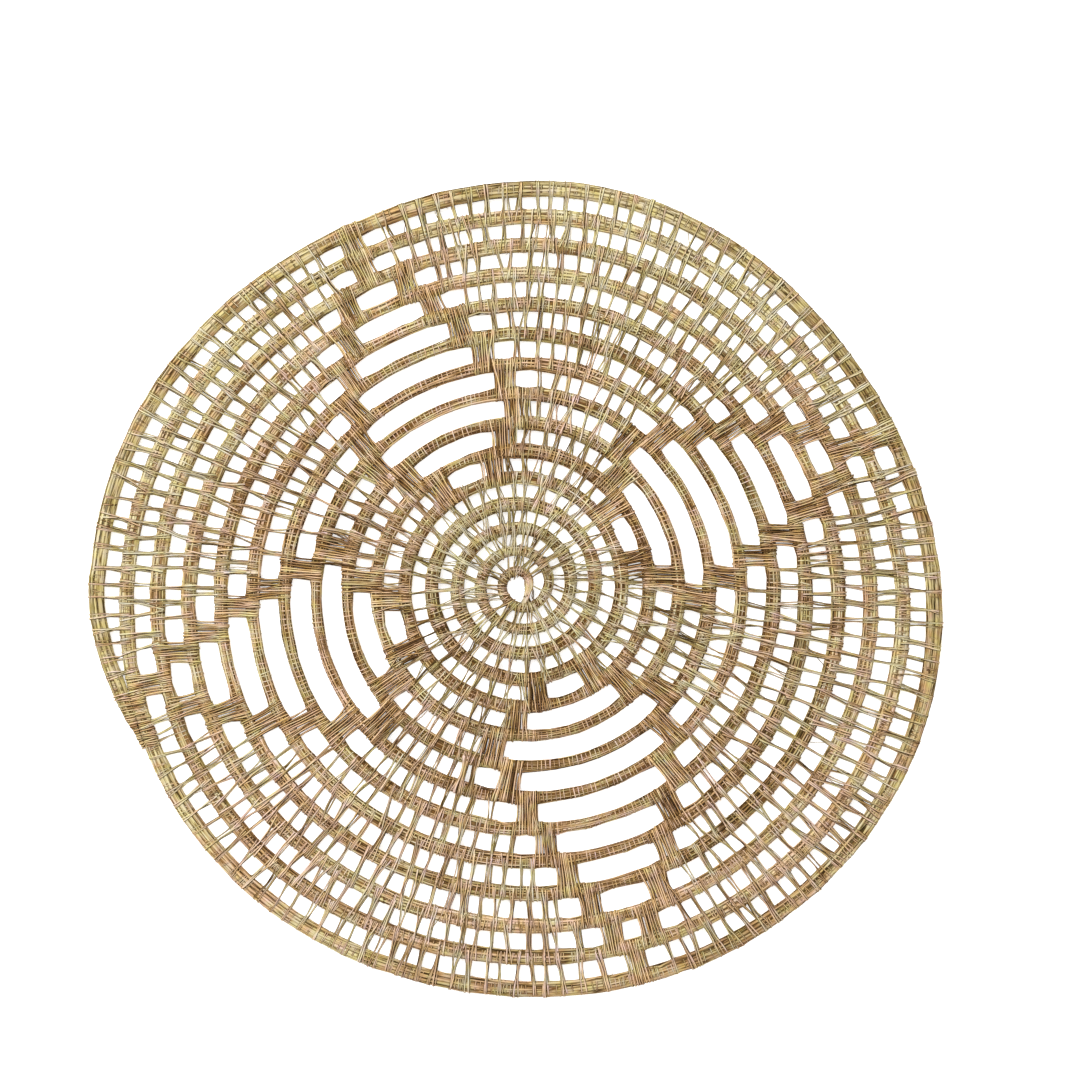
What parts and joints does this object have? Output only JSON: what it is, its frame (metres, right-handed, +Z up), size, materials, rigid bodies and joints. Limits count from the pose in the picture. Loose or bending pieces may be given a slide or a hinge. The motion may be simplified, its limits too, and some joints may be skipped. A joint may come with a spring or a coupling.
{
  "type": "woven palm placemat",
  "caption": "Round openwork table mat of coiled, stitched palm leaf, flat underneath, with long slots between its turns that draw a ring of leaves.",
  "frame": {"origin": "on the surface that the mat lies on, under the middle of its outline", "axes": "+Z up from the surface, +X and +Y across the mat, +X towards the side where a whole turn of the coil ends and along its longest extent"},
  "size_m": [0.3798, 0.3628, 0.0046],
  "materials": {
    "palm": "dry, matte palm leaf in straw, tan and olive"
  },
  "bodies": {
    "root": {"mat": "palm"}
  },
  "joints": []
}
